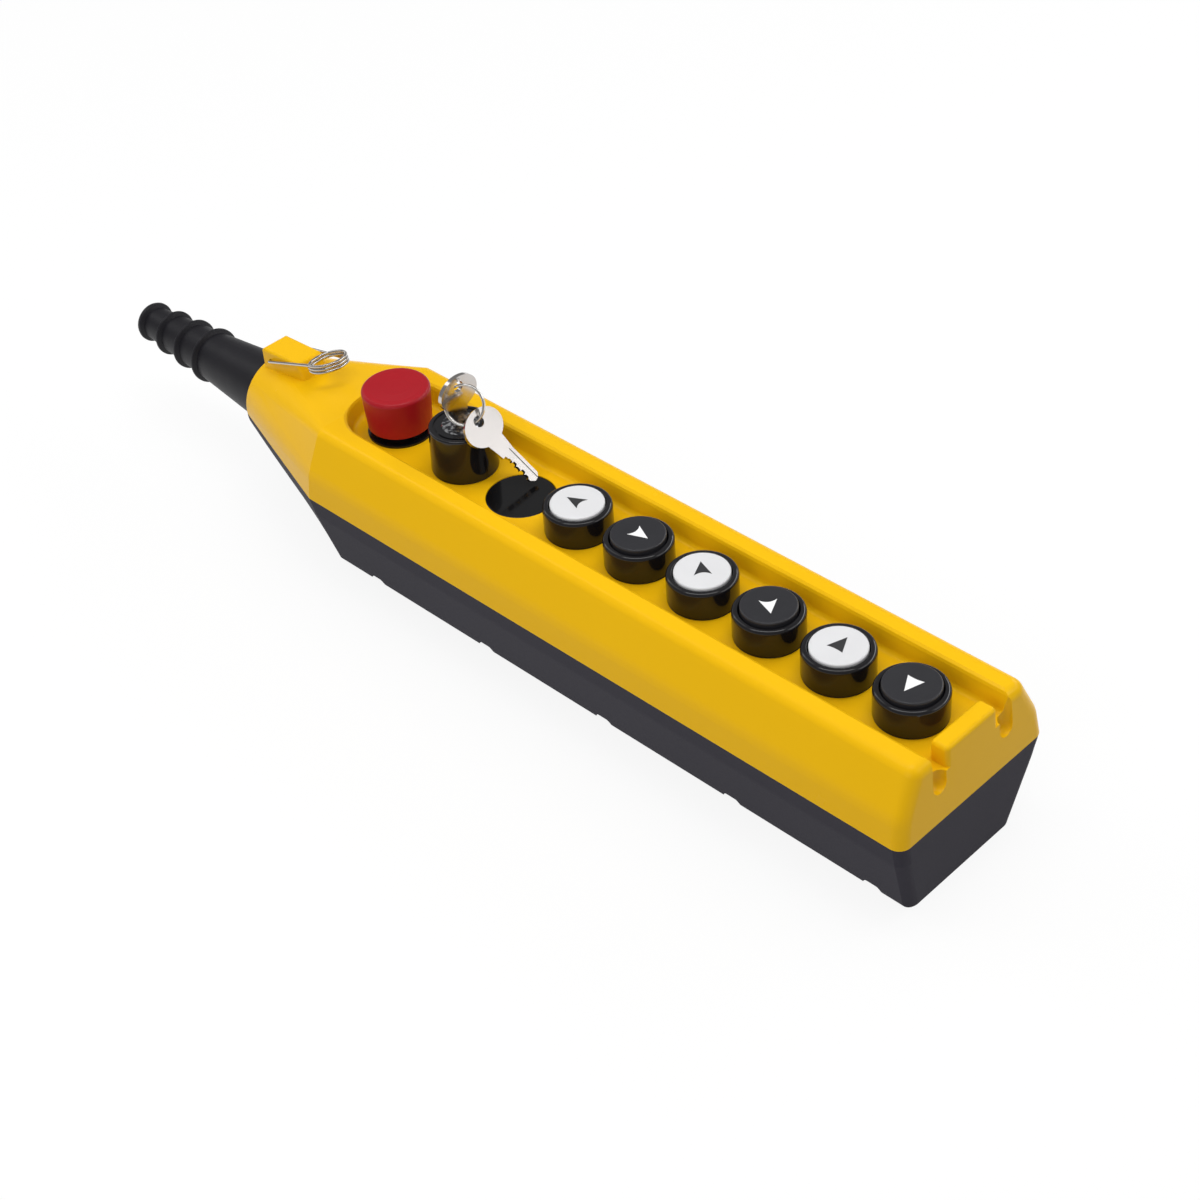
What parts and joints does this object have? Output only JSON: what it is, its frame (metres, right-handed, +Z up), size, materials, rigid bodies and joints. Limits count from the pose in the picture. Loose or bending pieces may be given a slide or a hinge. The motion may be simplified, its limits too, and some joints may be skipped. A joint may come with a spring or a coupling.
{
  "type": "crane pendant control station",
  "caption": "Hand-held crane pendant: a long box with push-buttons, a red emergency stop, a key switch with its keys, a wire suspension clip and a ribbed cable sleeve.",
  "frame": {"origin": "middle of the overall box, on the plane that the rear casing lies on", "axes": "+X along the box towards the button end, +Y across it, +Z up out of the operator side"},
  "size_m": [0.465, 0.08, 0.1001],
  "materials": {
    "yellow_cover": "satin-gloss golden yellow moulding",
    "charcoal_casing": "fine matte charcoal moulding",
    "black_gloss": "polished black nylon",
    "stop_red": "satin red",
    "white_cap": "satin white",
    "black_rubber": "matte moulded rubber",
    "bright_steel": "polished nickel plate",
    "lock_chrome": "chromed lock face",
    "zinc_screw": "zinc-plated steel",
    "spring_steel": "drawn spring wire",
    "brass": "turned brass",
    "block_grey": "grey thermoplastic"
  },
  "bodies": {
    "housing": {"front_cover": "yellow_cover", "rear_casing": "charcoal_casing", "cover_gasket": "black_rubber", "casing_screws": "zinc_screw", "cable_clamp": "charcoal_casing", "clamp_screws": "zinc_screw", "earth_terminal": "brass", "cable_sleeve": "black_rubber", "operator_seals": "black_rubber", "retaining_nuts": "black_gloss", "terminal_screws": "zinc_screw", "blanking_plug": "black_gloss", "estop_base": "black_gloss", "estop_spring": "spring_steel", "estop_contact_block": "block_grey", "key_bezel": "black_gloss", "lock_barrel": "lock_chrome", "key_contact_block": "block_grey", "button_bezel_1": "black_gloss", "button_spring_1": "spring_steel", "contact_block_1": "block_grey", "button_bezel_2": "black_gloss", "button_spring_2": "spring_steel", "contact_block_2": "block_grey", "button_bezel_3": "black_gloss", "button_spring_3": "spring_steel", "contact_block_3": "block_grey", "button_bezel_4": "black_gloss", "button_spring_4": "spring_steel", "contact_block_4": "block_grey", "button_bezel_5": "black_gloss", "button_spring_5": "spring_steel", "contact_block_5": "block_grey", "button_bezel_6": "black_gloss", "button_spring_6": "spring_steel", "contact_block_6": "block_grey"},
    "clip": {"suspension_clip": "bright_steel"},
    "stop_stem": {"estop_plunger": "black_gloss"},
    "stop_head": {"estop_cap": "stop_red"},
    "rotor": {"lock_rotor": "lock_chrome"},
    "inserted_key": {"switch_key": "bright_steel"},
    "ring": {"key_ring": "bright_steel"},
    "hanging_key": {"spare_key": "bright_steel"},
    "button_1": {"button_cap_1": "white_cap"},
    "button_2": {"button_cap_2": "black_gloss"},
    "button_3": {"button_cap_3": "white_cap"},
    "button_4": {"button_cap_4": "black_gloss"},
    "button_5": {"button_cap_5": "white_cap"},
    "button_6": {"button_cap_6": "black_gloss"}
  },
  "joints": [
    {"name": "clip_swing", "type": "hinge", "parent": "housing", "child": "clip", "pos_m": [-0.1331, 0, 0.0635], "axis": [0, -1, 0], "range_deg": [0, 165]},
    {"name": "estop_press", "type": "slide", "parent": "housing", "child": "stop_stem", "axis": [0, 0, -1], "range_m": [0, 0.003], "stiffness_N_per_m": 600, "springref_m": -0.002, "deforming": ["estop_spring"]},
    {"name": "estop_twist", "type": "hinge", "parent": "stop_stem", "child": "stop_head", "pos_m": [-0.058, 0, 0.07], "axis": [0, 0, -1], "range_deg": [0, 45], "stiffness_Nm_per_rad": 0.05, "springref_deg": -11.46},
    {"name": "key_turn", "type": "hinge", "parent": "housing", "child": "rotor", "pos_m": [-0.0195, 0, 0.07], "axis": [0, 0, -1], "range_deg": [0, 45]},
    {"name": "key_withdraw", "type": "slide", "parent": "rotor", "child": "inserted_key", "axis": [0, 0, 1], "range_m": [0, 0.025]},
    {"name": "ring_spin", "type": "hinge", "parent": "inserted_key", "child": "ring", "pos_m": [-0.0152, -0.00036, 0.08895], "axis": [0.4359, -0.7818, 0.4459], "range_deg": [0, 30]},
    {"name": "spare_key_swing", "type": "hinge", "parent": "ring", "child": "hanging_key", "pos_m": [-0.00914, 0.00007, 0.08377], "axis": [-0.4833, -0.6213, -0.6168], "range_deg": [0, 40]},
    {"name": "button_1_press", "type": "slide", "parent": "housing", "child": "button_1", "axis": [0, 0, -1], "range_m": [0, 0.004], "stiffness_N_per_m": 300, "springref_m": -0.002, "deforming": ["button_spring_1"]},
    {"name": "button_2_press", "type": "slide", "parent": "housing", "child": "button_2", "axis": [0, 0, -1], "range_m": [0, 0.004], "stiffness_N_per_m": 300, "springref_m": -0.002, "deforming": ["button_spring_2"]},
    {"name": "button_3_press", "type": "slide", "parent": "housing", "child": "button_3", "axis": [0, 0, -1], "range_m": [0, 0.004], "stiffness_N_per_m": 300, "springref_m": -0.002, "deforming": ["button_spring_3"]},
    {"name": "button_4_press", "type": "slide", "parent": "housing", "child": "button_4", "axis": [0, 0, -1], "range_m": [0, 0.004], "stiffness_N_per_m": 300, "springref_m": -0.002, "deforming": ["button_spring_4"]},
    {"name": "button_5_press", "type": "slide", "parent": "housing", "child": "button_5", "axis": [0, 0, -1], "range_m": [0, 0.004], "stiffness_N_per_m": 300, "springref_m": -0.002, "deforming": ["button_spring_5"]},
    {"name": "button_6_press", "type": "slide", "parent": "housing", "child": "button_6", "axis": [0, 0, -1], "range_m": [0, 0.004], "stiffness_N_per_m": 300, "springref_m": -0.002, "deforming": ["button_spring_6"]}
  ]
}
